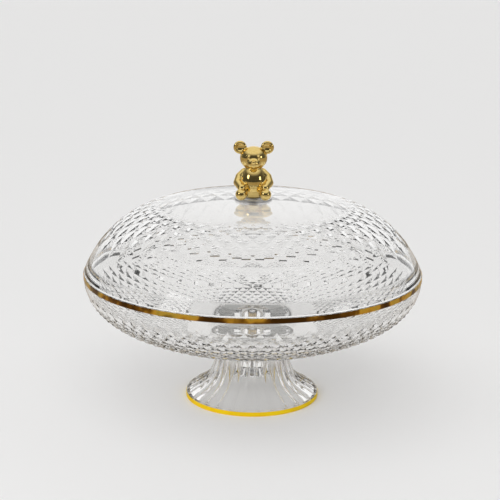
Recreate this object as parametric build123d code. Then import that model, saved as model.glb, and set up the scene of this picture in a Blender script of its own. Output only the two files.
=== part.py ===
from build123d import *
import math
import os

# Footed cake plate with a lift-off domed lid and a bear-shaped knob.
# Millimetres, +Z up.  The origin is the centre of the foot's underside and
# the bear faces -Y.  Outlines are drawn as (radius, height) pairs.

# ---- driving dimensions: foot ----------------------------------------------
foot_radius = 59.8            # over the gilt band
foot_height = 52.2            # underside to the top of the neck
foot_edge_height = 4.6        # upright edge that carries the gilt band
foot_neck_radius = 31.8
foot_wall = 3.4
flare_drop = 2.89             # inside of the flare below its outside
foot_web = 8.0                # solid top of the neck
foot_recess_depth = 5.5       # socket in the neck for the plate's spigot
column_radius = 16.0          # screw column inside the neck
column_bottom = 20.0          # height of the column's lower end
head_sink = 3.0               # screw head's depth inside the column
gilt_thickness = 0.4
foot_gilt_height = 3.9
flare_outline = ((0.045, 0.66), (0.155, 0.44), (0.34, 0.27), (0.60, 0.155), (0.84, 0.075))

# ---- driving dimensions: plate ---------------------------------------------
rim_radius = 150.0            # over the gilt band
rim_height = 115.1            # height of the band's middle
rim_gilt_height = 4.3
plate_wall = 3.4
plate_floor = 4.6             # thickness of the bowl at its middle
plate_power = 2.34            # roundness of the bowl's section
seat_margin = 2.2             # plate's flat seat beyond the neck
floor_radius = 40.0           # flat inside floor
spigot_radius = 12.0
spigot_length = 5.2
gasket_thickness = 0.8
gasket_inset = 0.8            # gasket's edge inside the neck's edge
gasket_margin = 5.0           # gasket's hole outside the spigot

# ---- driving dimensions: lid -----------------------------------------------
dome_rise = 63.1              # lower edge to crown
dome_wall = 2.6
dome_radial_power = 4.4       # roundness of the lid's section
dome_axial_power = 1.13
tongue_depth = 3.6            # tongue that centres the lid inside the plate's rim
tongue_thickness = 2.8
tongue_clearance = 0.35
flange_height = 8.5           # thicker wall above the lid's edge
rest_gap = 0.3                # running gap between pieces that move apart

# ---- driving dimensions: knob ----------------------------------------------
seal_radius = 16.5
seal_thickness = 1.6
seal_rounding = 0.64
inner_seal_radius = 8.0
inner_seal_thickness = 1.2

# ---- driving dimensions: bear ----------------------------------------------
# places are (x, y, height above its seat), for one side where it has two
bear_height = 50.1
belly_radius = 12.0
belly_half_height = 16.0
belly_centre = (0, 0.6, 13.5)
head_radius = 10.4
head_width = 24.0
head_height = 35.0
muzzle_radius = 5.6
muzzle_centre = (0, -8.2, 31.6)
nose_radius = 1.7
nose_centre = (0, -13.3, 33.8)
tail_radius = 2.8
tail_centre = (0, 12.2, 6.4)
ear_radius = 5.9
ear_spacing = 23.8
ear_setback = 0.8
ear_thickness = 4.4
ear_rounding = 1.9
ear_dish_radius = 4.6
ear_dish_offset = 5.4         # centre of the dish before the ear's middle
upper_arm_radius = 4.2
forearm_radius = 3.7
shoulder = (8.6, 0.2, 22.0)
elbow = (13.5, -3.0, 13.0)
paw = (10.0, -11.4, 10.6)
leg_radius = 4.6
hip = (8.6, -2.0, 4.9)
heel = (10.4, -13.6, 5.0)
sole_radius = 5.2
sole_centre = (10.5, -14.2, 5.3)
bear_reach = 40.0             # radius that takes in the whole bear

# ---- driving dimensions: fasteners -----------------------------------------
knob_thread_radius = 2.0
knob_head_radius = 4.0
knob_head_height = 2.6
knob_washer_radius = 6.5
knob_washer_thickness = 0.8
knob_insert_wall = 1.0
knob_insert_length = 8.0
foot_thread_radius = 3.0
foot_head_radius = 5.0
foot_head_height = 3.8
foot_washer_radius = 8.0
foot_washer_thickness = 1.2
foot_insert_wall = 1.5
foot_insert_length = 9.0
screw_clearance = 0.3         # round a screw that passes through
socket_clearance = 0.3        # round the spigot and the sunk screw head
thread_reach = 0.5            # insert left free beyond a screw's tip
insert_inset = 0.3            # plate insert above the spigot's end
insert_end_gap = 0.6          # blind hole beyond the bear's insert
head_rounding = 0.3           # share of a screw head's height
socket_size = 0.45            # share of a screw head's radius
socket_depth = 0.55           # share of a screw head's height
overcut = 1.0                 # how far a cut runs past a face

# ---- derived heights -------------------------------------------------------
edge_radius = foot_radius - gilt_thickness
plate_radius = rim_radius - gilt_thickness
plate_bottom = foot_height + gasket_thickness
plate_seat_radius = foot_neck_radius + seat_margin
rim_top = rim_height + rim_gilt_height / 2
dome_radius = plate_radius
dome_bottom = rim_top + rest_gap
dome_top = dome_bottom + dome_rise
bowl_depth = rim_height - plate_bottom
bowl_inner_radius = plate_radius - plate_wall
bowl_inner_depth = bowl_depth - plate_floor
tongue_radius = bowl_inner_radius - tongue_clearance
tongue_inner_radius = tongue_radius - tongue_thickness
counterbore_depth = foot_head_height + foot_washer_thickness + head_sink
counterbore_top = column_bottom + counterbore_depth
recess_floor = foot_height - foot_recess_depth
bear_base = dome_top + seal_thickness + rest_gap
inner_seal_bottom = dome_top - dome_wall - inner_seal_thickness
knob_washer_top = inner_seal_bottom - rest_gap
knob_head_top = knob_washer_top - knob_washer_thickness
foot_washer_bottom = counterbore_top - foot_washer_thickness
spigot_bottom = plate_bottom - spigot_length
foot_insert_radius = foot_thread_radius + foot_insert_wall
insert_top = spigot_bottom + foot_insert_length + insert_inset
knob_insert_radius = knob_thread_radius + knob_insert_wall


def turn(*edges):
    """Revolve a closed outline, drawn as (radius, height), about the vertical axis."""
    return revolve(Plane.XZ * make_face(list(edges)), Axis.Z, 360)


def ring(inner_radius, outer_radius, bottom, top):
    """A plain ring, or a disc when the inner radius is nought."""
    disc = extrude(Pos(0, 0, bottom) * Circle(outer_radius), top - bottom)
    if inner_radius == 0:
        return disc
    return disc - extrude(Pos(0, 0, bottom) * Circle(inner_radius), top - bottom)


def crown_points(radius, rise, powers, end_radius, start_rise=0.0, count=12):
    """Points of a superellipse quarter, from start_rise above its widest radius to end_radius."""
    radial_power, axial_power = powers
    start_angle = math.asin((start_rise / rise) ** (axial_power / 2))
    end_angle = math.acos((end_radius / radius) ** (radial_power / 2))
    points = []
    for step in range(count + 1):
        angle = start_angle + (end_angle - start_angle) * step / count
        across = radius * math.cos(angle) ** (2 / radial_power)
        up = rise * math.sin(angle) ** (2 / axial_power)
        points.append((across, up))
    return points


def shifted(points, base, direction):
    """Move crown points to a base height, upwards (1) or downwards (-1)."""
    return [(across, base + direction * up) for across, up in points]


# ---- foot ------------------------------------------------------------------
def flare_points(inset, drop):
    """Points of the foot's flare from neck to edge, moved in and down for the inside."""
    neck = foot_neck_radius - inset
    span = edge_radius - inset - neck
    top = foot_height
    fall = top - foot_edge_height
    inner = [(neck + span * out, foot_edge_height + fall * up - drop) for out, up in flare_outline]
    return [(neck, top)] + inner + [(neck + span, foot_edge_height - drop)]


def make_pedestal_foot():
    """Hollow trumpet foot with a solid neck top, a spigot socket and a screw column."""
    outer = flare_points(0, 0)
    body = turn(
        Spline(outer, tangents=[(0, -1), (0.35, -1)]),
        Line(outer[-1], (edge_radius, 0)),
        Line((edge_radius, 0), (0, 0)),
        Line((0, 0), (0, foot_height)),
        Line((0, foot_height), outer[0]),
    )
    inner = flare_points(foot_wall, flare_drop)
    roof = foot_height - foot_web
    hollow = turn(
        Spline(inner, tangents=[(0, -1), (0.5, -1)]),
        Line(inner[-1], (inner[-1][0], -overcut)),
        Line((inner[-1][0], -overcut), (0, -overcut)),
        Line((0, -overcut), (0, foot_height)),
        Line((0, foot_height), inner[0]),
    )
    hollow -= ring(0, foot_radius, roof, foot_height + overcut)
    hollow -= ring(0, column_radius, column_bottom, foot_height)
    foot = body - hollow
    foot -= ring(0, spigot_radius + socket_clearance, recess_floor, foot_height)
    foot -= ring(0, foot_thread_radius + screw_clearance, column_bottom, foot_height)
    foot -= ring(0, foot_washer_radius + socket_clearance, column_bottom, counterbore_top)
    return foot


def make_foot_gilt_band():
    """Thin band round the foot's upright edge."""
    return ring(edge_radius, foot_radius, 0, foot_gilt_height)


def make_pedestal_gasket():
    """Clear ring between the neck and the plate."""
    outer = foot_neck_radius - gasket_inset
    return ring(spigot_radius + gasket_margin, outer, foot_height, plate_bottom)


# ---- plate -----------------------------------------------------------------
def make_plate_bowl():
    """Deep plate: rounded bowl, flat floor, plain rim, and a spigot below."""
    powers = (plate_power, plate_power)
    outer = shifted(crown_points(plate_radius, bowl_depth, powers, plate_seat_radius), rim_height, -1)
    inner = crown_points(bowl_inner_radius, bowl_inner_depth, powers, floor_radius)
    inner = shifted(inner, rim_height, -1)
    floor_height = inner[-1][1]
    bowl = turn(
        Line((0, plate_bottom), (plate_seat_radius, plate_bottom)),
        Line((plate_seat_radius, plate_bottom), outer[-1]),
        Spline(outer, tangents=[(0, -1), (-1, 0)]),
        Line(outer[0], (plate_radius, rim_top)),
        Line((plate_radius, rim_top), (bowl_inner_radius, rim_top)),
        Line((bowl_inner_radius, rim_top), inner[0]),
        Spline(inner, tangents=[(0, -1), (-1, 0)]),
        Line(inner[-1], (0, floor_height)),
        Line((0, floor_height), (0, plate_bottom)),
    )
    bowl += ring(0, spigot_radius, spigot_bottom, plate_bottom + overcut)
    bowl -= ring(0, foot_insert_radius, spigot_bottom, insert_top)
    return bowl


def make_rim_gilt_band():
    """Thin band round the plate's rim."""
    half = rim_gilt_height / 2
    return ring(plate_radius, rim_radius, rim_height - half, rim_height + half)


# ---- fasteners under the plate ---------------------------------------------
def make_plate_insert():
    """Threaded insert held in the plate's spigot."""
    return ring(foot_thread_radius, foot_insert_radius, insert_top - foot_insert_length, insert_top)


def make_pedestal_washer():
    """Washer under the head of the screw in the foot's column."""
    inner = foot_thread_radius + screw_clearance
    return ring(inner, foot_washer_radius, foot_washer_bottom, counterbore_top)


def make_screw(thread_radius, head_radius, head_height, head_top, tip):
    """Pan-head screw pointing up, with a hexagon socket in its head."""
    head = ring(0, head_radius, head_top - head_height, head_top)
    head = fillet(head.edges().sort_by(Axis.Z)[0], head_height * head_rounding)
    head += ring(0, thread_radius, head_top, tip)
    socket = Pos(0, 0, head_top - head_height) * RegularPolygon(head_radius * socket_size, 6)
    return head - extrude(socket, head_height * socket_depth)


def make_pedestal_screw():
    """Screw up the foot's column into the plate's insert."""
    tip = insert_top - thread_reach
    return make_screw(foot_thread_radius, foot_head_radius, foot_head_height, foot_washer_bottom, tip)


# ---- lid -------------------------------------------------------------------
def make_dome_cover():
    """Domed lid: flat seat for the knob, a hole for its screw, and a tongue inside the rim."""
    powers = (dome_radial_power, dome_axial_power)
    outer = shifted(crown_points(dome_radius, dome_rise, powers, seal_radius), dome_bottom, 1)
    inner_radius = dome_radius - dome_wall
    inner_rise = dome_rise - dome_wall
    inner = crown_points(inner_radius, inner_rise, powers, inner_seal_radius, flange_height)
    inner = shifted(inner, dome_bottom, 1)
    crown = dome_top
    ceiling = dome_top - dome_wall
    outer[-1] = (seal_radius, crown)
    inner[-1] = (inner_seal_radius, ceiling)
    tongue_bottom = dome_bottom - tongue_depth
    dome = turn(
        Spline(outer, tangents=[(-0.2, 1), (-1, 0)]),
        Line(outer[-1], (0, crown)),
        Line((0, crown), (0, ceiling)),
        Line((0, ceiling), inner[-1]),
        Spline(inner, tangents=[(-0.5, 1), (-1, 0)]),
        Line(inner[0], (tongue_inner_radius, dome_bottom)),
        Line((tongue_inner_radius, dome_bottom), (tongue_inner_radius, tongue_bottom)),
        Line((tongue_inner_radius, tongue_bottom), (tongue_radius, tongue_bottom)),
        Line((tongue_radius, tongue_bottom), (tongue_radius, dome_bottom)),
        Line((tongue_radius, dome_bottom), outer[0]),
    )
    return dome - ring(0, knob_thread_radius + screw_clearance, ceiling - overcut, crown + overcut)


def make_knob_seal_outer():
    """Clear disc between the bear and the lid."""
    inner = knob_thread_radius + screw_clearance
    seal = ring(inner, seal_radius, dome_top, dome_top + seal_thickness)
    return fillet(seal.edges().group_by(Axis.Z)[-1].sort_by(SortBy.RADIUS)[-1], seal_rounding)


def make_knob_seal_inner():
    """Soft ring under the lid's wall, inside."""
    inner = knob_thread_radius + screw_clearance
    return ring(inner, inner_seal_radius, inner_seal_bottom, inner_seal_bottom + inner_seal_thickness)


# ---- knob ------------------------------------------------------------------
def ellipsoid(radius, half_height, centre):
    """Egg shape turned about a vertical axis through its centre."""
    arc = EllipticalCenterArc((0, 0), radius, half_height, start_angle=-90, arc_size=180)
    egg = revolve(Plane.XZ * make_face([arc, Line(arc @ 0, arc @ 1)]), Axis.Z, 360)
    return Pos(*centre) * egg


def limb(start, end, radius):
    """Rod with round ends between two points."""
    axis = Vector(*end) - Vector(*start)
    length = axis.length
    arc_low = CenterArc((0, 0), radius, -90, 90)
    arc_high = CenterArc((0, length), radius, 0, 90)
    side = Line(arc_low @ 1, arc_high @ 0)
    core = Line(arc_high @ 1, arc_low @ 0)
    rod = revolve(Plane.XZ * make_face([arc_low, side, arc_high, core]), Axis.Z, 360)
    return Plane(origin=start, z_dir=axis) * rod


def on_bear(place, side=1):
    """Where a place on the bear lies, on its right (1) or left (-1) side."""
    across, along, up = place
    return (side * across, along, bear_base + up)


def make_ear(side):
    """Round ear, dished in front."""
    disc = Cylinder(ear_radius, ear_thickness)
    disc = fillet(disc.edges().filter_by(GeomType.CIRCLE), ear_rounding)
    disc -= Pos(0, 0, ear_dish_offset) * Sphere(ear_dish_radius)
    place = (ear_spacing / 2, ear_setback, bear_height - ear_radius)
    return Plane(origin=on_bear(place, side), z_dir=(0, -1, 0)) * disc


def make_bear_knob():
    """Sitting bear with a flat seat and a socket for its threaded insert."""
    bear = ellipsoid(belly_radius, belly_half_height, on_bear(belly_centre))
    cheek = (head_width / 2 - head_radius, 0, head_height)
    bear += limb(on_bear(cheek, -1), on_bear(cheek), head_radius)
    bear += Pos(*on_bear(muzzle_centre)) * Sphere(muzzle_radius)
    bear += Pos(*on_bear(nose_centre)) * Sphere(nose_radius)
    bear += Pos(*on_bear(tail_centre)) * Sphere(tail_radius)
    for side in (-1, 1):
        bear += make_ear(side)
        bear += limb(on_bear(shoulder, side), on_bear(elbow, side), upper_arm_radius)
        bear += limb(on_bear(elbow, side), on_bear(paw, side), forearm_radius)
        bear += limb(on_bear(hip, side), on_bear(heel, side), leg_radius)
        bear += Pos(*on_bear(sole_centre, side)) * Sphere(sole_radius)
    bear -= ring(0, bear_reach, bear_base - belly_half_height, bear_base)
    socket_top = bear_base + knob_insert_length + insert_end_gap
    return bear - ring(0, knob_insert_radius, bear_base, socket_top)


def make_knob_insert():
    """Threaded insert held in the bear's base."""
    return ring(knob_thread_radius, knob_insert_radius, bear_base, bear_base + knob_insert_length)


def make_knob_washer():
    """Washer under the knob screw's head."""
    inner = knob_thread_radius + screw_clearance
    return ring(inner, knob_washer_radius, knob_head_top, knob_washer_top)


def make_knob_screw():
    """Screw from inside the lid up into the bear's insert."""
    tip = bear_base + knob_insert_length - thread_reach
    return make_screw(knob_thread_radius, knob_head_radius, knob_head_height, knob_head_top, tip)


PIECES = {
    "pedestal_foot": make_pedestal_foot,
    "foot_gilt_band": make_foot_gilt_band,
    "pedestal_gasket": make_pedestal_gasket,
    "pedestal_washer": make_pedestal_washer,
    "pedestal_screw": make_pedestal_screw,
    "plate_bowl": make_plate_bowl,
    "plate_insert": make_plate_insert,
    "rim_gilt_band": make_rim_gilt_band,
    "dome_cover": make_dome_cover,
    "knob_seal_outer": make_knob_seal_outer,
    "knob_seal_inner": make_knob_seal_inner,
    "knob_washer": make_knob_washer,
    "knob_screw": make_knob_screw,
    "bear_knob": make_bear_knob,
    "knob_insert": make_knob_insert,
}

os.makedirs("parts", exist_ok=True)
for node, make_piece in PIECES.items():
    piece = make_piece()
    export_step(piece, f"parts/{node}.step")
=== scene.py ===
"""Footed cake plate with a lift-off domed lid, faceted like cut glass, and a gilt bear knob.

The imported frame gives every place.  This script gives the surfaces their final shape and finish.
"""

import logging
import math
from abc import ABC, abstractmethod
from dataclasses import dataclass
from enum import Enum

import bmesh
import bpy
from mathutils import Matrix, Vector


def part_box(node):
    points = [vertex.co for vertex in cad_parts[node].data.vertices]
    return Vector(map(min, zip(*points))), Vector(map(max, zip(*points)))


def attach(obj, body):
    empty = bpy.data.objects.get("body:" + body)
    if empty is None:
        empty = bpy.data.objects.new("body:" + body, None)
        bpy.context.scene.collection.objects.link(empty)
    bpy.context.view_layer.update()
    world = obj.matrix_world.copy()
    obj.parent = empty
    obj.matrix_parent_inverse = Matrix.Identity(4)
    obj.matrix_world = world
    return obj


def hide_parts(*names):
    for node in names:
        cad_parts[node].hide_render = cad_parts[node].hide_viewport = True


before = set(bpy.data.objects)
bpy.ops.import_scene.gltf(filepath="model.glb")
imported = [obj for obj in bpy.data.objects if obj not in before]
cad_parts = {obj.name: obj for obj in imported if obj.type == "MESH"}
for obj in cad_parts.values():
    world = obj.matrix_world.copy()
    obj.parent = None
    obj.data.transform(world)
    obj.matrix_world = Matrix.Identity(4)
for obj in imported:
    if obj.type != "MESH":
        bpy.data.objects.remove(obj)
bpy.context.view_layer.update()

LOG = logging.getLogger("cake_stand")
MM = 0.001
LEVEL = 0.001 * MM            # places closer than this are in line
MERGE = 0.01 * MM             # points closer than this become one
BAND_GAP = 0.05 * MM          # thin gap behind a gilt band
BAND_ROUNDING = 0.1 * MM
ROUNDING_STEPS = 3
METAL = 1.0
WEAR_RANGE = (0.35, 0.65)     # values of the wear pattern where it starts and ends
COLOUR_INPUTS = (6, 7)        # the two colours among a Mix node's inputs
COLOUR_OUTPUT = 2             # the mixed colour among its outputs
Point = tuple[float, float]
Place = tuple[float, float, float]
Colour = tuple[float, float, float]
Stops = tuple[tuple[float, float], ...]
PLAIN = -1                    # row label of a point that isn't part of a pattern
ROUNDED = -2                  # row label of a corner that gets a small rounding


class Body(Enum):
    """The three things that move apart."""

    STAND = "stand"
    LID = "lid"
    KNOB = "knob"


# ---- outlines


@dataclass(frozen=True)
class Crown:
    """Quarter of a superellipse that a bowl or a lid is turned from, in metres."""

    radius: float
    rise: float
    radial_power: float
    axial_power: float
    base: float
    direction: int

    def point(self, angle: float) -> Point:
        """Place of one point of the outline.

        Args:
            angle: angle from the widest place.

        Returns:
            Its radius and height.
        """
        across = self.radius * max(math.cos(angle), 0.0) ** (2 / self.radial_power)
        up = self.rise * max(math.sin(angle), 0.0) ** (2 / self.axial_power)
        return across, self.base + self.direction * up

    def angle_at_radius(self, radius: float) -> float:
        """Angle where the quarter has this radius."""
        return math.acos((radius / self.radius) ** (self.radial_power / 2))

    def angle_at_rise(self, rise: float) -> float:
        """Angle where the quarter has risen this far."""
        return math.asin((rise / self.rise) ** (self.axial_power / 2))

    def even(self, start: float, end: float, count: int) -> list[Point]:
        """Points at equal angle steps, both ends included."""
        return [self.point(start + (end - start) * i / count) for i in range(count + 1)]

    def in_proportion(self, start: float, end: float, share: float, first: float) -> list[Point]:
        """Points whose steps are a share of the radius.

        Args:
            start: angle of the first point.
            end: angle that the points stay short of.
            share: length of a step over the radius there.
            first: length of the first step over the others'.

        Returns:
            The points, first one at the start angle.
        """
        fine = 4000
        points = [self.point(start)]
        last = points[0]
        travelled = share * (1 - first)
        for tick in range(1, fine + 1):
            here = self.point(start + (end - start) * tick / fine)
            travelled += math.dist(last, here) / here[0]
            last = here
            if travelled >= share:
                points.append(here)
                travelled -= share
        return points


def smooth_line(points: list[Point], count: int) -> list[Point]:
    """Catmull-Rom line through points.

    Args:
        points: places that the line passes through.
        count: steps between two of them.

    Returns:
        The denser line, both ends included.
    """
    ends = [points[0]] + points + [points[-1]]
    line = []
    for before, start, end, after in zip(ends, ends[1:], ends[2:], ends[3:]):
        for step in range(count):
            t = step / count
            pair = []
            for a, b, c, d in zip(before, start, end, after):
                bend = (2 * a - 5 * b + 4 * c - d) * t * t + (3 * b - a - 3 * c + d) * t ** 3
                pair.append(0.5 * (2 * b + (c - a) * t + bend))
            line.append((pair[0], pair[1]))
    line.append(points[-1])
    return line


class Turned:
    """A mesh spun about the Z axis from an outline of labelled points."""

    def __init__(self, steps: int) -> None:
        """Start an empty mesh.

        Args:
            steps: how many steps it will be spun in.
        """
        self.steps = steps
        self.mesh = bmesh.new()
        self.label = self.mesh.verts.layers.int.new("row")
        self.chain: list[bmesh.types.BMVert] = []

    def add(self, points: list[Point], first_row: int = PLAIN) -> None:
        """Add points to the outline.

        Args:
            points: (radius, height) pairs in metres.
            first_row: label of the first point, counted up from there, or one plain label for all.
        """
        for index, (across, up) in enumerate(points):
            vert = self.mesh.verts.new((across, 0.0, up))
            vert[self.label] = first_row + index if first_row >= 0 else first_row
            self.chain.append(vert)

    def spin(self, closed: bool) -> None:
        """Spin the outline all the way round and close its seam and poles.

        Args:
            closed: whether the outline's last point joins its first.
        """
        for start, end in zip(self.chain, self.chain[1:]):
            self.mesh.edges.new((start, end))
        if closed:
            self.mesh.edges.new((self.chain[-1], self.chain[0]))
        geometry = self.mesh.verts[:] + self.mesh.edges[:]
        bmesh.ops.spin(self.mesh, geom=geometry, cent=(0, 0, 0), axis=(0, 0, 1), dvec=(0, 0, 0),
                       angle=2 * math.pi, steps=self.steps, use_merge=True, use_duplicate=False)
        bmesh.ops.remove_doubles(self.mesh, verts=self.mesh.verts[:], dist=MERGE)
        bmesh.ops.dissolve_degenerate(self.mesh, edges=self.mesh.edges[:], dist=LEVEL)

    def column(self, vert: bmesh.types.BMVert) -> int:
        """Number of the spin step that a vertex lies on."""
        turn = math.atan2(vert.co.y, vert.co.x) / (2 * math.pi)
        return round(turn * self.steps) % self.steps

    def round_corners(self, width: float) -> None:
        """Give each labelled corner ring a small rounding.

        Args:
            width: how far the rounding reaches from the corner.
        """
        rings = [e for e in self.mesh.edges
                 if all(v[self.label] == ROUNDED for v in e.verts)
                 and abs(e.verts[0].co.z - e.verts[1].co.z) < LEVEL
                 and abs(e.verts[0].co.xy.length - e.verts[1].co.xy.length) < LEVEL]
        bmesh.ops.bevel(self.mesh, geom=rings, offset=width, offset_type="OFFSET",
                        segments=ROUNDING_STEPS, profile=0.5, affect="EDGES", material=-1)

    def shade(self) -> None:
        """Smooth everything and turn the faces outwards."""
        for face in self.mesh.faces:
            face.smooth = True
        bmesh.ops.recalc_face_normals(self.mesh, faces=self.mesh.faces[:])

    def to_object(self, name: str) -> bpy.types.Object:
        """Make the finished object and free the mesh in hand."""
        self.mesh.verts.layers.int.remove(self.label)
        return object_from(self.mesh, name)


def object_from(mesh: bmesh.types.BMesh, name: str) -> bpy.types.Object:
    """Put a finished mesh into the scene.

    Args:
        mesh: the mesh in hand, which is freed.
        name: name of the piece.

    Returns:
        The new object, at the origin.
    """
    data = bpy.data.meshes.new(name)
    mesh.to_mesh(data)
    mesh.free()
    piece = bpy.data.objects.new(name, data)
    bpy.context.scene.collection.objects.link(piece)
    return piece


@dataclass(frozen=True)
class Facets:
    """Rows of four-sided pyramids pressed into a turned wall, ending in points at both edges.

    Attributes:
        columns: pyramids in one ring.
        aspect: half a pyramid's height over half its width.
        relief: depth of the valleys over the radius.
        point_length: length of the points at the wide edge over a row's.
        point_relief: how much of the relief the points at the wide edge have.
        fade: how much of the relief each row has, from the narrow edge on.
    """

    columns: int
    aspect: float
    relief: float
    point_length: float = 1.0
    point_relief: float = 1.0
    fade: tuple[float, ...] = (1.0,)

    @property
    def steps(self) -> int:
        """Spin steps: two for each pyramid."""
        return 2 * self.columns

    @property
    def row_share(self) -> float:
        """Step between half rows over the radius."""
        return self.aspect * math.pi / self.columns

    def is_valley(self, turned: Turned, vert: bmesh.types.BMVert, last: int) -> bool:
        """Whether a vertex is sunk, in a pattern whose rows are nought to last."""
        row = vert[turned.label]
        return 0 < row < last and (turned.column(vert) + row) % 2 == 0

    def press(self, turned: Turned, rows: list[Point], inward: float) -> None:
        """Sink the valleys and split the cells into triangles.

        Args:
            turned: the spun mesh, whose rows are labelled from nought.
            rows: the outline's points in those rows, from the narrow edge to the wide one.
            inward: 1 where the wall's inside lies left of the outline's direction, else -1.
        """
        last = len(rows) - 1
        valleys = [v for v in turned.mesh.verts if self.is_valley(turned, v, last)]
        edges = []
        for here, inner in ((0, 1), (last, last - 1)):
            edges += [v for v in turned.mesh.verts
                      if v[turned.label] in (here, inner) and (turned.column(v) + v[turned.label]) % 2]
        for vert in valleys:
            row = vert[turned.label]
            ahead, behind = rows[row + 1], rows[row - 1]
            along = Vector((ahead[0] - behind[0], ahead[1] - behind[1])).normalized()
            share = self.fade[min(row, len(self.fade)) - 1]
            if row == last - 1:
                share *= self.point_relief
            across = Vector((-along.y, along.x)) * inward * self.relief * share * rows[row][0]
            outward = vert.co.xy.normalized() * across.x
            vert.co += Vector((outward.x, outward.y, across.y))
        bmesh.ops.connect_verts(turned.mesh, verts=valleys)
        bmesh.ops.connect_verts(turned.mesh, verts=edges)

    def flatten(self, turned: Turned, last: int) -> None:
        """Shade the pressed triangles flat, with a crisp line round each.

        Args:
            turned: the pressed mesh.
            last: label of the pattern's last row.
        """
        for face in turned.mesh.faces:
            if any(self.is_valley(turned, v, last) for v in face.verts):
                face.smooth = False
                for edge in face.edges:
                    edge.smooth = False


# ---- finishes


class Nodes:
    """Short way to build a node tree."""

    def __init__(self, tree: bpy.types.NodeTree) -> None:
        """Work on this tree."""
        self.tree = tree

    def add(self, kind: str, **values: object) -> bpy.types.Node:
        """Add a node.

        Args:
            kind: Blender's name of the node's type.
            values: properties of the node, or its inputs by name with underscores.

        Returns:
            The node.
        """
        node = self.tree.nodes.new(kind)
        for name, value in values.items():
            if hasattr(node, name):
                setattr(node, name, value)
            else:
                node.inputs[name.replace("_", " ").title()].default_value = value
        return node

    def link(self, source: bpy.types.NodeSocket, target: bpy.types.NodeSocket) -> None:
        """Join two sockets."""
        self.tree.links.new(source, target)

    def mix(self, factor: bpy.types.NodeSocket | float, first: bpy.types.NodeSocket | Colour,
            second: bpy.types.NodeSocket | Colour, blend: str = "MIX") -> bpy.types.NodeSocket:
        """Mix two colours.

        Args:
            factor: how much of the second colour there is.
            first: the colour below.
            second: the colour above.
            blend: Blender's name of the way they mix.

        Returns:
            The mixed colour.
        """
        node = self.add("ShaderNodeMix", data_type="RGBA", blend_type=blend)
        if isinstance(factor, float):
            node.inputs["Factor"].default_value = factor
        else:
            self.link(factor, node.inputs["Factor"])
        for index, colour in zip(COLOUR_INPUTS, (first, second)):
            if isinstance(colour, tuple):
                node.inputs[index].default_value = (*colour, 1.0)
            else:
                self.link(colour, node.inputs[index])
        return node.outputs[COLOUR_OUTPUT]

    def ramp(self, source: bpy.types.NodeSocket,
             stops: tuple[tuple[float, Colour], ...]) -> bpy.types.NodeSocket:
        """Colour ramp over a value.

        Args:
            source: the value.
            stops: pairs of place and colour, in order.

        Returns:
            The ramp's colour.
        """
        node = self.tree.nodes.new("ShaderNodeValToRGB")
        elements = node.color_ramp.elements
        while len(elements) < len(stops):
            elements.new(0.5)
        for element, (place, colour) in zip(elements, stops):
            element.position = place
            element.color = (*colour, 1.0)
        self.link(source, node.inputs["Fac"])
        return node.outputs["Color"]


def ripple_group() -> bpy.types.NodeTree:
    """Shared effect: slow waviness and fine wear, as a height, a mask and a roughness.

    Returns:
        The node group, made at the first call.
    """
    name = "Ripple and wear"
    if name in bpy.data.node_groups:
        return bpy.data.node_groups[name]
    group = bpy.data.node_groups.new(name, "ShaderNodeTree")
    for label, value in (("Wave Scale", 60.0), ("Wear Scale", 900.0), ("Low Roughness", 0.03),
                         ("High Roughness", 0.08)):
        socket = group.interface.new_socket(label, in_out="INPUT", socket_type="NodeSocketFloat")
        socket.default_value = value
    for label in ("Height", "Mask", "Roughness"):
        group.interface.new_socket(label, in_out="OUTPUT", socket_type="NodeSocketFloat")
    nodes = Nodes(group)
    given = nodes.add("NodeGroupInput")
    result = nodes.add("NodeGroupOutput")
    place = nodes.add("ShaderNodeTexCoord")
    wave = nodes.add("ShaderNodeTexNoise", detail=2.0)
    wear = nodes.add("ShaderNodeTexNoise", detail=4.0)
    spread = nodes.add("ShaderNodeMapRange", from_min=WEAR_RANGE[0], from_max=WEAR_RANGE[1])
    for texture, scale in ((wave, "Wave Scale"), (wear, "Wear Scale")):
        nodes.link(place.outputs["Object"], texture.inputs["Vector"])
        nodes.link(given.outputs[scale], texture.inputs["Scale"])
    nodes.link(wear.outputs["Fac"], spread.inputs["Value"])
    nodes.link(given.outputs["Low Roughness"], spread.inputs["To Min"])
    nodes.link(given.outputs["High Roughness"], spread.inputs["To Max"])
    nodes.link(wave.outputs["Fac"], result.inputs["Height"])
    nodes.link(wear.outputs["Fac"], result.inputs["Mask"])
    nodes.link(spread.outputs["Result"], result.inputs["Roughness"])
    return group


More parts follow.
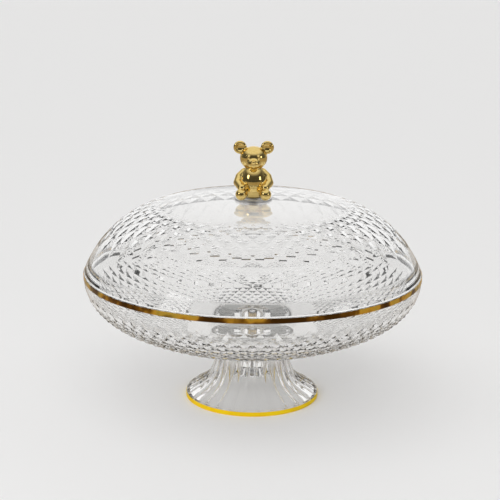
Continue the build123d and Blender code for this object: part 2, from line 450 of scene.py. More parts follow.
@dataclass(frozen=True, kw_only=True)
class Finish(ABC):
    """A surface finish with fine wear and a faint waviness.

    Attributes:
        name: the material's name.
        roughness: lowest and highest roughness.
        metallic: 1 for metal.
        wave_scale: size of the waviness, as a noise scale.
        wear_scale: size of the wear.
        ripple: depth of the waviness in metres.
    """

    name: str
    roughness: tuple[float, float]
    metallic: float = 0.0
    wave_scale: float = 60.0
    wear_scale: float = 900.0
    ripple: float = 0.02 * MM

    def start(self) -> tuple[bpy.types.Material, Nodes, bpy.types.Node, bpy.types.Node]:
        """Make the material with its shared effect.

        Returns:
            The material, its nodes, its main shader and the effect's node.
        """
        material = bpy.data.materials.new(self.name)
        material.use_nodes = True
        nodes = Nodes(material.node_tree)
        shader = material.node_tree.nodes["Principled BSDF"]
        low, high = self.roughness
        effect = nodes.add("ShaderNodeGroup", node_tree=ripple_group(), wave_scale=self.wave_scale,
                           wear_scale=self.wear_scale, low_roughness=low, high_roughness=high)
        nodes.link(effect.outputs["Roughness"], shader.inputs["Roughness"])
        if self.ripple:
            bump = nodes.add("ShaderNodeBump", strength=1.0, distance=self.ripple)
            nodes.link(effect.outputs["Height"], bump.inputs["Height"])
            nodes.link(bump.outputs["Normal"], shader.inputs["Normal"])
        shader.inputs["Metallic"].default_value = self.metallic
        return material, nodes, shader, effect

    @abstractmethod
    def build(self) -> bpy.types.Material:
        """Make the whole material."""


@dataclass(frozen=True, kw_only=True)
class WornFinish(Finish):
    """A finish whose colour goes from dark to light with the wear."""

    dark: Colour
    light: Colour

    def tint(self) -> tuple[bpy.types.Material, Nodes, bpy.types.Node]:
        """Make the material as far as its colour.

        Returns:
            The material, its nodes and its main shader.
        """
        material, nodes, shader, effect = self.start()
        stops = tuple(zip(WEAR_RANGE, (self.dark, self.light)))
        nodes.link(nodes.ramp(effect.outputs["Mask"], stops), shader.inputs["Base Color"])
        return material, nodes, shader

    def build(self) -> bpy.types.Material:
        """Make the whole material."""
        return self.tint()[0]


@dataclass(frozen=True, kw_only=True)
class ClearFinish(WornFinish):
    """Clear moulded plastic that lets lamps through to what is behind it."""

    refraction: float = 1.49
    shadow: Colour = (0.985, 0.983, 0.98)

    def build(self) -> bpy.types.Material:
        """Make the clear material.

        Returns:
            The material, with a pale shadow.
        """
        material, nodes, shader = self.tint()
        shader.inputs["IOR"].default_value = self.refraction
        shader.inputs["Transmission Weight"].default_value = 1.0
        path = nodes.add("ShaderNodeLightPath")
        through = nodes.add("ShaderNodeBsdfTransparent")
        through.inputs["Color"].default_value = (*self.shadow, 1.0)
        mix = nodes.add("ShaderNodeMixShader")
        output = material.node_tree.nodes["Material Output"]
        nodes.link(path.outputs["Is Shadow Ray"], mix.inputs["Fac"])
        nodes.link(shader.outputs["BSDF"], mix.inputs[1])
        nodes.link(through.outputs["BSDF"], mix.inputs[2])
        nodes.link(mix.outputs["Shader"], output.inputs["Surface"])
        return material


@dataclass(frozen=True, kw_only=True)
class GiltFinish(Finish):
    """Bright gilt laid by hand, with drifts of deeper and paler metal; where the stops run to near-black
    and bright amber, as on the rim, the drift is painted reflection.
    """

    stops: tuple[tuple[float, Colour], ...]
    drift_scale: float = 40.0
    drift_detail: float = 3.0
    specular: float = 0.5

    def build(self) -> bpy.types.Material:
        """Make the gilt.

        Returns:
            The material, its colour drifting along the band.
        """
        material, nodes, shader, _effect = self.start()
        place = nodes.add("ShaderNodeTexCoord")
        drift = nodes.add("ShaderNodeTexNoise", scale=self.drift_scale, detail=self.drift_detail)
        nodes.link(place.outputs["Object"], drift.inputs["Vector"])
        nodes.link(nodes.ramp(drift.outputs["Fac"], self.stops), shader.inputs["Base Color"])
        shader.inputs["Specular IOR Level"].default_value = self.specular
        return material


@dataclass(frozen=True, kw_only=True)
class FloorFinish(Finish):
    """Plain matt floor that polished metal mirrors as a darker, warmer table top."""

    colour: Colour
    mirrored: Colour

    def build(self) -> bpy.types.Material:
        """Make the floor's material.

        Returns:
            The material.
        """
        material, nodes, shader, _effect = self.start()
        path = nodes.add("ShaderNodeLightPath")
        in_mirror = nodes.add("ShaderNodeMath", operation="SUBTRACT")
        nodes.link(path.outputs["Is Glossy Ray"], in_mirror.inputs[0])
        nodes.link(path.outputs["Is Transmission Ray"], in_mirror.inputs[1])
        colour = nodes.mix(in_mirror.outputs["Value"], self.colour, self.mirrored)
        nodes.link(colour, shader.inputs["Base Color"])
        return material


CLEAR_WALL = ClearFinish(name="Clear moulded plastic", dark=(0.972, 0.970, 0.964),
                         light=(0.990, 0.988, 0.984), roughness=(0.0, 0.015), wave_scale=22.0,
                         ripple=0.05 * MM)
FROSTED_DISC = ClearFinish(name="Frosted disc", dark=(0.93, 0.93, 0.925), light=(0.97, 0.97, 0.965),
                           roughness=(0.28, 0.40))
# Rim gilt: its colour drift is partly the gilt's own uneven tone and partly painted reflection. The
# near-black patches are painted dark reflections and the bright amber patches are painted bright ones.
RIM_GILT_AND_PAINTED_REFLECTIONS = GiltFinish(name="Rim gilt with painted dark reflections", metallic=METAL, roughness=(0.10, 0.22), wave_scale=90.0,
                      ripple=0.08 * MM, drift_scale=38.0,
                      stops=((0.37, (0.10, 0.045, 0.008)), (0.45, (0.26, 0.12, 0.016)),
                             (0.52, (0.95, 0.56, 0.07)), (0.59, (0.80, 0.58, 0.10)),
                             (0.67, (0.14, 0.065, 0.01))))
FOOT_GILT = GiltFinish(name="Yellow foot gilt", roughness=(0.36, 0.48), wave_scale=120.0,
                       ripple=0.01 * MM, drift_scale=45.0, specular=0.2,
                       stops=((0.35, (0.88, 0.57, 0.003)), (0.65, (0.95, 0.67, 0.006))))
BEAR_GOLD = WornFinish(name="Polished bear gold", dark=(0.78, 0.55, 0.16), light=(0.88, 0.68, 0.28),
                       metallic=METAL, roughness=(0.04, 0.09), wave_scale=220.0, wear_scale=1500.0,
                       ripple=0.03 * MM)
TURNED_BRASS = WornFinish(name="Turned brass", dark=(0.60, 0.42, 0.16), light=(0.78, 0.58, 0.26),
                          metallic=METAL, roughness=(0.22, 0.36))
ZINC_STEEL = WornFinish(name="Zinc plated steel", dark=(0.50, 0.50, 0.51), light=(0.66, 0.66, 0.67),
                        metallic=METAL, roughness=(0.24, 0.40))
SOFT_SILICONE = WornFinish(name="Milky silicone", dark=(0.88, 0.88, 0.87), light=(0.95, 0.95, 0.94),
                           roughness=(0.45, 0.62))
PALE_FLOOR = FloorFinish(name="Pale floor", colour=(0.86, 0.855, 0.85), mirrored=(0.42, 0.35, 0.26),
                         roughness=(0.6, 0.7), ripple=0.0)


class Finishes:
    """Every finish of the stand, each made once."""

    def __init__(self) -> None:
        """Start with none made."""
        self.made: dict[str, bpy.types.Material] = {}

    def dress(self, piece: bpy.types.Object, finish: Finish) -> None:
        """Give a piece its finish on all of its surface.

        Args:
            piece: the object.
            finish: its finish.
        """
        if finish.name not in self.made:
            self.made[finish.name] = finish.build()
        piece.data.materials.clear()
        piece.data.materials.append(self.made[finish.name])


# ---- sub-assemblies


@dataclass
class SubAssembly:
    """Something that builds its pieces round the frame."""

    finishes: Finishes
    body: Body = Body.STAND

    def place(self, piece: bpy.types.Object, finish: Finish, slot: str, *nodes: str) -> None:
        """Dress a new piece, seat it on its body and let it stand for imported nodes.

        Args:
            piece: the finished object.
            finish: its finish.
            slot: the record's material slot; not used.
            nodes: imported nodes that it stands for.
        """
        self.finishes.dress(piece, finish)
        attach(piece, self.body.value)
        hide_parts(*nodes)
        LOG.info("%s: %d faces for %s", piece.name, len(piece.data.polygons), ", ".join(nodes))

    def keep(self, node: str, finish: Finish) -> None:
        """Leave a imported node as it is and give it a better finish."""
        self.finishes.dress(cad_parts[node], finish)
        LOG.info("%s: packed shape kept", node)

    def turn_band(self, name: str, inside: float, steps: int, finish: Finish, slot: str) -> None:
        """Turn a gilt band with soft edges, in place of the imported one.

        Args:
            name: name of the new piece.
            inside: radius of what it goes round.
            steps: how many steps it is spun in.
            finish: its finish.
            slot: the record's material slot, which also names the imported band.
        """
        node = f"{slot}_band"
        low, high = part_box(node)
        inner = inside + BAND_GAP
        turned = Turned(steps)
        turned.add([(inner, low.z), (high.x, low.z), (high.x, high.z), (inner, high.z)], ROUNDED)
        turned.spin(closed=True)
        turned.round_corners(BAND_ROUNDING)
        turned.shade()
        self.place(turned.to_object(name), finish, slot, node)


@dataclass
class Plate(SubAssembly):
    """The deep plate: faceted bowl, plain rim, gilt band and the spigot below."""

    wall: float = 3.4 * MM
    floor: float = 4.6 * MM
    power: float = 2.34
    seat_radius: float = 34.0 * MM
    floor_radius: float = 40.0 * MM
    spigot_radius: float = 12.0 * MM
    insert_radius: float = 4.5 * MM
    stop_radius: float = 57.0 * MM
    plain_depth: float = 10.0 * MM
    rounding: float = 0.5 * MM
    seat_steps: int = 6
    rim_steps: int = 5
    inner_steps: int = 30
    facets: Facets = Facets(columns=72, aspect=1.22, relief=0.0098, point_length=1.2)

    def build(self) -> None:
        """Build the plate and dress what hangs on it."""
        self.make_bowl()
        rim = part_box("plate_bowl")[1].x
        self.turn_band("rim_band", rim, self.facets.steps * 2, RIM_GILT_AND_PAINTED_REFLECTIONS, "rim_gilt")
        self.keep("pedestal_gasket", SOFT_SILICONE)
        self.keep("plate_insert", TURNED_BRASS)

    def make_bowl(self) -> None:
        """Turn the bowl and press its facets."""
        low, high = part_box("plate_bowl")
        radius = high.x
        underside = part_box("pedestal_gasket")[1].z
        insert_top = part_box("plate_insert")[1].z
        band_low, band_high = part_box("rim_gilt_band")
        middle = (band_low.z + band_high.z) / 2
        depth = middle - underside
        outer = Crown(radius, depth, self.power, self.power, middle, -1)
        inner = Crown(radius - self.wall, depth - self.floor, self.power, self.power, middle, -1)
        start = outer.angle_at_rise(self.plain_depth)
        stop = outer.angle_at_radius(self.stop_radius)
        seat = outer.angle_at_radius(self.seat_radius)
        rows = outer.in_proportion(start, stop, self.facets.row_share, self.facets.point_length)
        end = outer.angle_at_radius(rows[-1][0])
        turned = Turned(self.facets.steps)
        turned.add([(0.0, insert_top), (self.insert_radius, insert_top), (self.insert_radius, low.z)])
        turned.add([(self.spigot_radius, low.z), (self.spigot_radius, underside),
                    (self.seat_radius, underside)])
        turned.add(outer.even(seat, end, self.seat_steps)[:-1])
        turned.add(rows[::-1], first_row=0)
        turned.add(outer.even(start, 0.0, self.rim_steps)[1:])
        turned.add([(radius, high.z), (radius - self.wall, high.z)], ROUNDED)
        floor_angle = inner.angle_at_radius(self.floor_radius)
        turned.add(inner.even(0.0, floor_angle, self.inner_steps))
        turned.add([(0.0, inner.point(floor_angle)[1])])
        turned.spin(closed=False)
        self.facets.press(turned, rows[::-1], inward=1)
        turned.round_corners(self.rounding)
        turned.shade()
        self.facets.flatten(turned, len(rows) - 1)
        self.place(turned.to_object("faceted_plate"), CLEAR_WALL, "clear_plastic", "plate_bowl")


@dataclass
class Lid(SubAssembly):
    """The domed lid: plain cap, faceted shoulder and plain wall down to the rim."""

    body: Body = Body.LID
    wall: float = 2.6 * MM
    radial_power: float = 4.4
    axial_power: float = 1.13
    tongue_clearance: float = 3.75 * MM
    tongue_thickness: float = 2.8 * MM
    tongue_depth: float = 3.6 * MM
    flange_height: float = 8.5 * MM
    hole_radius: float = 2.3 * MM
    ceiling_radius: float = 8.0 * MM
    rounding: float = 0.4 * MM
    cap_steps: int = 14
    wall_steps: int = 18
    inner_steps: int = 34
    pattern_low_radius: float = 136.5 * MM
    pattern_high_radius: float = 79.0 * MM
    facets: Facets = Facets(columns=42, aspect=1.15, relief=0.0135, point_length=1.31, point_relief=0.6,
                            fade=(0.25, 0.6, 0.9))

    def build(self) -> None:
        """Build the lid and dress its seals."""
        self.make_dome()
        self.keep("knob_seal_outer", FROSTED_DISC)
        self.keep("knob_seal_inner", SOFT_SILICONE)

    def make_dome(self) -> None:
        """Turn the lid and press its facets."""
        low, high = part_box("dome_cover")
        radius = high.x
        edge = low.z + self.tongue_depth
        rise = high.z - edge
        outer = Crown(radius, rise, self.radial_power, self.axial_power, edge, 1)
        inner = Crown(radius - self.wall, rise - self.wall, self.radial_power, self.axial_power, edge, 1)
        start = outer.angle_at_radius(self.pattern_low_radius)
        stop = outer.angle_at_radius(self.pattern_high_radius)
        rows = outer.in_proportion(start, stop, self.facets.row_share, self.facets.point_length)
        end = outer.angle_at_radius(rows[-1][0])
        seat = outer.angle_at_radius(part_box("knob_seal_outer")[1].x)
        tongue = radius - self.tongue_clearance
        turned = Turned(self.facets.steps)
        turned.add([(self.hole_radius, high.z)])
        turned.add(outer.even(seat, end, self.cap_steps)[:-1])
        turned.add(rows[::-1], first_row=0)
        turned.add(outer.even(start, 0.0, self.wall_steps)[1:-1])
        turned.add([(radius, edge)], ROUNDED)
        turned.add([(tongue, edge), (tongue, low.z)])
        turned.add([(tongue - self.tongue_thickness, low.z)], ROUNDED)
        flange = inner.angle_at_rise(self.flange_height)
        ceiling = inner.angle_at_radius(self.ceiling_radius)
        turned.add(inner.even(flange, ceiling, self.inner_steps))
        turned.add([(self.hole_radius, high.z - self.wall)])
        turned.spin(closed=True)
        self.facets.press(turned, rows[::-1], inward=-1)
        turned.round_corners(self.rounding)
        turned.shade()
        self.facets.flatten(turned, len(rows) - 1)
        self.place(turned.to_object("faceted_lid"), CLEAR_WALL, "clear_plastic", "dome_cover")


@dataclass
class Pedestal(SubAssembly):
    """The trumpet foot with its flutes, gilt band and screw."""

    flutes: int = 30
    flute_steps: int = 8
    flute_depth: float = 1.9 * MM
    narrowest_flute: float = 0.01
    fade_length: float = 1.5 * MM
    rounding: float = 0.4 * MM
    smoothing_steps: int = 7
    edge_height: float = 4.6 * MM
    neck_radius: float = 31.8 * MM
    edge_radius: float = 59.4 * MM
    wall: float = 3.4 * MM
    flare_drop: float = 2.89 * MM
    roof_thickness: float = 8.0 * MM
    column_radius: float = 16.0 * MM
    column_bottom: float = 20.0 * MM
    counterbore_top: float = 28.0 * MM
    counterbore_radius: float = 8.3 * MM
    screw_hole_radius: float = 3.3 * MM
    socket_radius: float = 12.3 * MM
    socket_depth: float = 5.5 * MM
    outline: tuple[Point, ...] = ((0.045, 0.66), (0.155, 0.44), (0.34, 0.27), (0.60, 0.155), (0.84, 0.075))

    def build(self) -> None:
        """Build the foot and dress its hardware."""
        self.make_foot()
        steps = self.flutes * self.flute_steps
        self.turn_band("foot_band", self.edge_radius, steps, FOOT_GILT, "foot_gilt")
        self.keep("pedestal_washer", ZINC_STEEL)
        self.keep("pedestal_screw", ZINC_STEEL)

    def flare(self, inset: float, drop: float) -> list[Point]:
        """Outline of the flare from neck to edge.

        Args:
            inset: how far it is moved in, for the inside.
            drop: how far all but its top is moved down.

        Returns:
            (radius, height) pairs, the neck's first.
        """
        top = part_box("pedestal_foot")[1].z
        neck = self.neck_radius - inset
        span = self.edge_radius - inset - neck
        fall = top - self.edge_height
        middle = [(neck + span * out, self.edge_height + fall * up - drop) for out, up in self.outline]
        return smooth_line([(neck, top)] + middle + [(neck + span, self.edge_height - drop)],
                           self.smoothing_steps)

    def make_foot(self) -> None:
        """Turn the foot and sink the grooves between its flutes."""
        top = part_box("pedestal_foot")[1].z
        outer = self.flare(0.0, 0.0)
        roof = top - self.roof_thickness
        inner = [p for p in self.flare(self.wall, self.flare_drop) if p[1] < roof]
        steps = self.flutes * self.flute_steps
        turned = Turned(steps)
        turned.add(outer, first_row=0)
        turned.add([(self.edge_radius, 0.0)], ROUNDED)
        turned.add([(inner[-1][0], 0.0)], ROUNDED)
        turned.add(inner[::-1])
        turned.add([(inner[0][0], roof), (self.column_radius, roof)])
        turned.add([(self.column_radius, self.column_bottom)], ROUNDED)
        turned.add([(self.counterbore_radius, self.column_bottom),
                    (self.counterbore_radius, self.counterbore_top),
                    (self.screw_hole_radius, self.counterbore_top),
                    (self.screw_hole_radius, top - self.socket_depth),
                    (self.socket_radius, top - self.socket_depth), (self.socket_radius, top)])
        turned.spin(closed=True)
        self.sink_grooves(turned, outer)
        turned.round_corners(self.rounding)
        turned.shade()
        self.place(turned.to_object("fluted_foot"), CLEAR_WALL, "clear_plastic", "pedestal_foot")

    def sink_grooves(self, turned: Turned, outer: list[Point]) -> None:
        """Leave rounded flutes with tongue-shaped ends standing between narrow grooves.

        Args:
            turned: the spun foot, its flare labelled from nought at the neck.
            outer: the flare's points in the same order.
        """
        to_edge = [0.0]
        for here, ahead in zip(outer[::-1], outer[-2::-1]):
            to_edge.append(to_edge[-1] + math.dist(here, ahead))
        to_edge.reverse()
        last = len(outer) - 1
        for vert in turned.mesh.verts:
            row = vert[turned.label]
            if row < 0 or row >= last:
                continue
            across = abs((turned.column(vert) % self.flute_steps) / self.flute_steps * 2 - 1)
            half_width = math.pi * outer[row][0] / self.flutes
            reach = min(to_edge[row] / half_width, 1.0)
            tongue = max(math.sqrt(1 - (1 - reach) ** 2), self.narrowest_flute)
            lobe = math.sqrt(max(1 - (across / tongue) ** 2, 0.0))
            fade = min(to_edge[row] / self.fade_length, 1.0)
            sink = self.flute_depth * (1 - lobe) * fade
            ahead, behind = outer[row + 1], outer[max(row - 1, 0)]
            along = Vector((ahead[0] - behind[0], ahead[1] - behind[1])).normalized()
            inward = Vector((along.y, -along.x)) * sink
            outward = vert.co.xy.normalized() * inward.x
            vert.co += Vector((outward.x, outward.y, inward.y))


@dataclass(frozen=True)
class Ball:
    """An egg-shaped form, in millimetres from the middle of the bear's seat."""

    centre: Place
    radii: Place


@dataclass(frozen=True)
class Limb:
    """A round-ended form between two points, in millimetres from the middle of the bear's seat."""

    start: Place
    end: Place
    start_radius: float
    end_radius: float


@dataclass
class Knob(SubAssembly):
    """The golden sitting bear and what screws it down.

    Attributes:
        middle_balls: belly, head, muzzle, nose and tail.
        eye: the eye on one side, mirrored for the other.
        limbs: upper arm, elbow, forearm and leg on one side.
        sole: the foot's sole on one side.
    """

    body: Body = Body.KNOB
    voxel: float = 0.42 * MM
    smoothing: float = 0.5
    smoothing_passes: int = 5
    ear_radius: float = 5.9 * MM
    ear_spacing: float = 23.8 * MM
    ear_setback: float = 0.8 * MM
    ear_thickness: float = 4.4 * MM
    ear_edge: float = 0.8
    ear_dish: float = 0.1
    ear_swell: float = 0.35
    ear_back: float = 1.1
    ear_lip: float = 0.5
    ear_steps: int = 8
    ear_segments: int = 40
    ball_segments: tuple[int, int] = (40, 26)
    limb_segments: tuple[int, int] = (32, 20)
    middle_balls: tuple[Ball, ...] = (
        Ball((0, 0.6, 13.5), (12.0, 12.0, 16.0)),
        Ball((0, 0, 35.0), (12.0, 10.4, 10.4)),
        Ball((0, -8.2, 31.6), (6.0, 5.6, 4.9)),
        Ball((0, -13.0, 33.6), (2.1, 1.7, 1.5)),
        Ball((0, 12.2, 6.4), (2.8, 2.8, 2.8)),
    )
    eye: Ball = Ball((4.3, -9.3, 37.2), (1.15, 1.0, 1.25))
    limbs: tuple[Limb, ...] = (
        Limb((8.0, 0.4, 22.6), (12.0, -0.6, 18.4), 3.5, 3.9),
        Limb((12.0, -0.6, 18.4), (13.5, -3.4, 13.6), 3.9, 4.1),
        Limb((13.5, -3.4, 13.6), (10.2, -11.2, 10.8), 4.1, 3.8),
        Limb((8.6, -2.0, 4.9), (10.4, -13.6, 5.0), 4.6, 4.6),
    )
    sole: Ball = Ball((10.5, -14.2, 5.3), (5.2, 5.2, 5.2))

    def build(self) -> None:
        """Build the bear and dress its hardware."""
        low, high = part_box("bear_knob")
        bear = self.fuse(self.add_forms(low, high))
        self.cut_seat(bear, low.z)
        for vert in bear.verts:
            vert.co.z = min(vert.co.z, high.z)
        self.place(object_from(bear, "golden_bear"), BEAR_GOLD, "bear_gold", "bear_knob")
        self.keep("knob_insert", TURNED_BRASS)
        self.keep("knob_screw", ZINC_STEEL)
        self.keep("knob_washer", ZINC_STEEL)

    def add_forms(self, low: Vector, high: Vector) -> bmesh.types.BMesh:
        """Put the bear's rounded forms together, one through another.

        Args:
            low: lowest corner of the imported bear's box.
            high: highest corner.

        Returns:
            The mesh in hand.
        """
        mesh = bmesh.new()
        seat = Matrix.Translation((0, 0, low.z))
        for ball in self.middle_balls:
            self.add_ball(mesh, seat, ball)
        for side in (-1, 1):
            mirror = seat @ Matrix.Diagonal((side, 1, 1, 1))
            self.add_ear(mesh, side, high.z)
            self.add_ball(mesh, mirror, self.eye)
            for limb in self.limbs:
                self.add_limb(mesh, mirror, limb)
            self.add_ball(mesh, mirror, self.sole)
        bmesh.ops.recalc_face_normals(mesh, faces=mesh.faces[:])
        return mesh

    def fuse(self, forms: bmesh.types.BMesh) -> bmesh.types.BMesh:
        """Join the forms into one skin and soften where they meet.

        Args:
            forms: the mesh in hand, which is freed.

        Returns:
            The joined mesh.
        """
        rough = object_from(forms, "bear_forms")
        remesh = rough.modifiers.new("Union", "REMESH")
        remesh.mode = "VOXEL"
        remesh.voxel_size = self.voxel
        evaluated = rough.evaluated_get(bpy.context.evaluated_depsgraph_get())
        joined = bmesh.new()
        joined.from_mesh(evaluated.to_mesh())
        evaluated.to_mesh_clear()
        bpy.data.objects.remove(rough)
        for _ in range(self.smoothing_passes):
            bmesh.ops.smooth_vert(joined, verts=joined.verts[:], factor=self.smoothing,
                                  use_axis_x=True, use_axis_y=True, use_axis_z=True)
        return joined

    def cut_seat(self, bear: bmesh.types.BMesh, level: float) -> None:
        """Cut the bear flat where it sits, and smooth the rest.

        Args:
            bear: the mesh in hand.
            level: height of the cut.
        """
        geometry = bear.verts[:] + bear.edges[:] + bear.faces[:]
        bmesh.ops.bisect_plane(bear, geom=geometry, dist=LEVEL, plane_co=(0, 0, level),
                               plane_no=(0, 0, -1), clear_outer=True)
        rims = [e for e in bear.edges if e.is_boundary]
        bmesh.ops.holes_fill(bear, edges=rims, sides=0)
        for face in bear.faces:
            face.smooth = any(v.co.z > level + MERGE for v in face.verts)

    def add_ball(self, mesh: bmesh.types.BMesh, frame_of: Matrix, ball: Ball) -> None:
        """Add an egg shape.

        Args:
            mesh: mesh in hand.
            frame_of: where the bear's own frame lies.
            ball: the shape's middle and radii.
        """
        around, upward = self.ball_segments
        centre = Matrix.Translation(Vector(ball.centre) * MM)
        place = frame_of @ centre @ Matrix.Diagonal((*ball.radii, 1))
        bmesh.ops.create_uvsphere(mesh, u_segments=around, v_segments=upward, radius=MM, matrix=place)

    def add_limb(self, mesh: bmesh.types.BMesh, frame_of: Matrix, limb: Limb) -> None:
        """Add a round-ended limb.

        Args:
            mesh: mesh in hand.
            frame_of: where the bear's own frame lies.
            limb: the limb's ends and their radii.
        """
        start, end = Vector(limb.start) * MM, Vector(limb.end) * MM
        radii = limb.start_radius * MM, limb.end_radius * MM
        along = end - start
        turn = along.to_track_quat("Z", "Y").to_matrix().to_4x4()
        middle = frame_of @ Matrix.Translation((start + end) / 2) @ turn
        around, upward = self.limb_segments
        bmesh.ops.create_cone(mesh, cap_ends=True, segments=around, radius1=radii[0], radius2=radii[1],
                              depth=along.length, matrix=middle)
        for point, radius in zip((start, end), radii):
            place = frame_of @ Matrix.Translation(point)
            bmesh.ops.create_uvsphere(mesh, u_segments=around, v_segments=upward, radius=radius,
                                      matrix=place)

    def ear_outline(self) -> list[Point]:
        """Half section of an ear: dished front, rounded edge and bulging back.

        Returns:
            (radius, height) pairs, the front's middle first.
        """
        half = self.ear_thickness / 2
        edge = half * self.ear_edge
        sweep = math.pi + self.ear_lip
        outline = [(0.0, half * self.ear_dish), (self.ear_radius / 2, half * self.ear_swell)]
        for step in range(self.ear_steps + 1):
            angle = sweep - math.pi / 2 - sweep * step / self.ear_steps
            outline.append((self.ear_radius - edge + edge * math.cos(angle), edge * math.sin(angle)))
        return outline + [(0.0, -edge * self.ear_back)]

    def add_ear(self, mesh: bmesh.types.BMesh, side: int, top: float) -> None:
        """Add a round ear, turned about its own axis.

        Args:
            mesh: mesh in hand.
            side: 1 for one side of the head, -1 for the other.
            top: height of the ear's top.
        """
        turned = Turned(self.ear_segments)
        turned.add(self.ear_outline())
        turned.spin(closed=False)
        turned.shade()
        centre = Vector((side * self.ear_spacing / 2, self.ear_setback, top - self.ear_radius))
        turned.mesh.transform(Matrix.Translation(centre) @ Matrix.Rotation(math.pi / 2, 4, "X"))
        turned.mesh.verts.layers.int.remove(turned.label)
        data = bpy.data.meshes.new("ear")
        turned.mesh.to_mesh(data)
        turned.mesh.free()
        mesh.from_mesh(data)
        bpy.data.meshes.remove(data)


# ---- room


def grey_stops(stops: Stops) -> tuple[tuple[float, Colour], ...]:
    """Stops of a ramp from pairs of place and greyness."""
    return tuple((place, (grey, grey, grey)) for place, grey in stops)


@dataclass(frozen=True)
class SoftBox:
    """A square lamp, its place and size in metres and its power in watts."""

    name: str
    place: Place
    size: float
    power: float


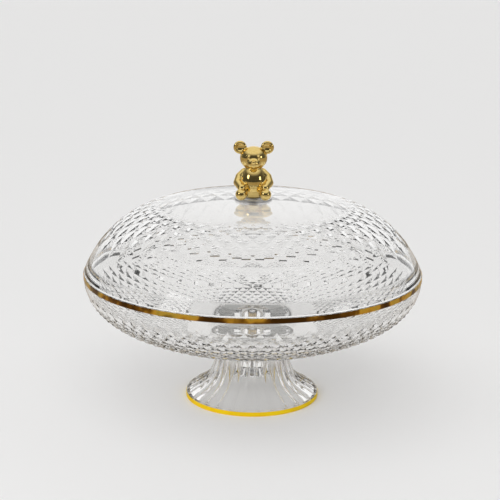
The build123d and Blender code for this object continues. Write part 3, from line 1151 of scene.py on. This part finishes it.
@dataclass
class Studio:
    """Pale floor, soft light and the camera.

    Attributes:
        backdrop: what the camera sees past the floor.
        ambient: light that falls on matt surfaces.
        mirror_depths: what metal mirrors, from in front of the stand to behind it.
        mirror_heights: what it mirrors from below to overhead.
        glass_depths: what clear walls pass on, from in front to behind.
        glass_heights: what they pass on, from below to overhead.
        bounces: how often light may cross or bounce inside clear walls.
        mirror_bounces: how often it may be mirrored.
    """

    floor_radius: float = 9.0
    floor_segments: int = 96
    backdrop: Colour = (0.84, 0.835, 0.83)
    ambient: Colour = (0.52, 0.52, 0.52)
    mirror_depths: Stops = ((0.0, 0.02), (0.55, 0.05), (0.78, 0.22), (0.92, 1.0))
    mirror_heights: Stops = ((0.44, 0.60), (0.51, 0.04), (0.76, 0.07), (0.90, 0.90))
    glass_depths: Stops = ((0.0, 0.12), (0.28, 0.30), (0.52, 1.0))
    glass_heights: Stops = ((0.50, 0.70), (0.70, 0.25), (1.0, 0.75))
    camera_place: Place = (0.0, -1.1471, 0.4284)
    camera_target: Place = (-0.0026, 0.0, 0.1345)
    camera_roll: float = 0.41
    lens: float = 95.93
    sensor: float = 36.0
    sky_place: Place = (-0.45, -0.60, 1.0)
    sky_strength: float = 1.5
    sky_width: float = 90.0
    soft_boxes: tuple[SoftBox, ...] = (SoftBox("key", (-0.95, -0.75, 0.70), 0.40, 1.6),
                                       SoftBox("fill", (1.05, -0.60, 0.50), 0.30, 0.8))
    lit_place: Place = (0.0, 0.0, 0.12)
    bounces: int = 20
    mirror_bounces: int = 6

    def build(self) -> None:
        """Set up everything that isn't the object."""
        self.make_camera()
        self.make_world()
        self.make_floor()
        self.add_sky()
        for box in self.soft_boxes:
            self.add_soft_box(box)
        bpy.context.scene.view_settings.view_transform = "Standard"
        self.let_light_through()

    def let_light_through(self) -> None:
        """Allow enough bounces for light to cross the clear walls, one behind another."""
        cycles = bpy.context.scene.cycles
        cycles.max_bounces = self.bounces
        cycles.glossy_bounces = self.mirror_bounces
        cycles.transmission_bounces = self.bounces
        cycles.transparent_max_bounces = self.bounces

    def make_camera(self) -> None:
        """Aim the camera."""
        data = bpy.data.cameras.new("camera")
        data.lens = self.lens
        data.sensor_width = self.sensor
        camera = bpy.data.objects.new("camera", data)
        camera.location = self.camera_place
        view = Vector(self.camera_target) - Vector(self.camera_place)
        roll = Matrix.Rotation(math.radians(self.camera_roll), 3, "Z")
        turn = view.to_track_quat("-Z", "Y").to_matrix() @ roll
        camera.rotation_euler = turn.to_euler()
        bpy.context.scene.collection.objects.link(camera)
        bpy.context.scene.camera = camera

    def make_world(self) -> None:
        """Give each kind of ray its own soft surroundings."""
        world = bpy.data.worlds.new("studio")
        bpy.context.scene.world = world
        world.use_nodes = True
        nodes = Nodes(world.node_tree)
        place = nodes.add("ShaderNodeTexCoord")
        parts = nodes.add("ShaderNodeSeparateXYZ")
        halved = nodes.add("ShaderNodeVectorMath", operation="MULTIPLY_ADD")
        for index in (1, 2):
            halved.inputs[index].default_value = (0.5, 0.5, 0.5)
        nodes.link(place.outputs["Generated"], halved.inputs[0])
        nodes.link(halved.outputs["Vector"], parts.inputs["Vector"])
        path = nodes.add("ShaderNodeLightPath")
        colour: bpy.types.NodeSocket | Colour = self.ambient
        for rays, depths, heights in (("Is Glossy Ray", self.mirror_depths, self.mirror_heights),
                                      ("Is Transmission Ray", self.glass_depths, self.glass_heights)):
            along = nodes.ramp(parts.outputs["Y"], grey_stops(depths))
            upward = nodes.ramp(parts.outputs["Z"], grey_stops(heights))
            colour = nodes.mix(path.outputs[rays], colour, nodes.mix(1.0, along, upward, "SCREEN"))
        colour = nodes.mix(path.outputs["Is Camera Ray"], colour, self.backdrop)
        nodes.link(colour, world.node_tree.nodes["Background"].inputs["Color"])

    def make_floor(self) -> None:
        """Lay a wide floor."""
        mesh = bmesh.new()
        bmesh.ops.create_circle(mesh, cap_ends=True, segments=self.floor_segments,
                                radius=self.floor_radius)
        floor = object_from(mesh, "floor")
        floor.data.materials.append(PALE_FLOOR.build())

    def hang(self, data: bpy.types.Light, aim: Vector) -> bpy.types.Object:
        """Hang a lamp that isn't seen through the clear walls.

        Args:
            data: the lamp's light.
            aim: the direction that it shines in.

        Returns:
            The lamp, at the origin.
        """
        lamp = bpy.data.objects.new(data.name, data)
        lamp.rotation_euler = aim.to_track_quat("-Z", "Y").to_euler()
        lamp.visible_transmission = False
        bpy.context.scene.collection.objects.link(lamp)
        return lamp

    def add_sky(self) -> None:
        """Add one very wide, soft light, even over the whole floor."""
        data = bpy.data.lights.new("sky", "SUN")
        data.angle = math.radians(self.sky_width)
        data.energy = self.sky_strength
        self.hang(data, -Vector(self.sky_place)).visible_glossy = False

    def add_soft_box(self, box: SoftBox) -> None:
        """Add a soft square lamp that points at the lid.

        Args:
            box: its place, size and power.
        """
        data = bpy.data.lights.new(box.name, "AREA")
        data.size = box.size
        data.energy = box.power
        aim = Vector(self.lit_place) - Vector(box.place)
        self.hang(data, aim).location = box.place


def main() -> None:
    """Build the stand from the foot up, then the room."""
    logging.basicConfig(level=logging.INFO, format="%(message)s")
    finishes = Finishes()
    for assembly in (Pedestal(finishes), Plate(finishes), Lid(finishes), Knob(finishes)):
        assembly.build()
    Studio().build()


if __name__ == "__main__":
    main()
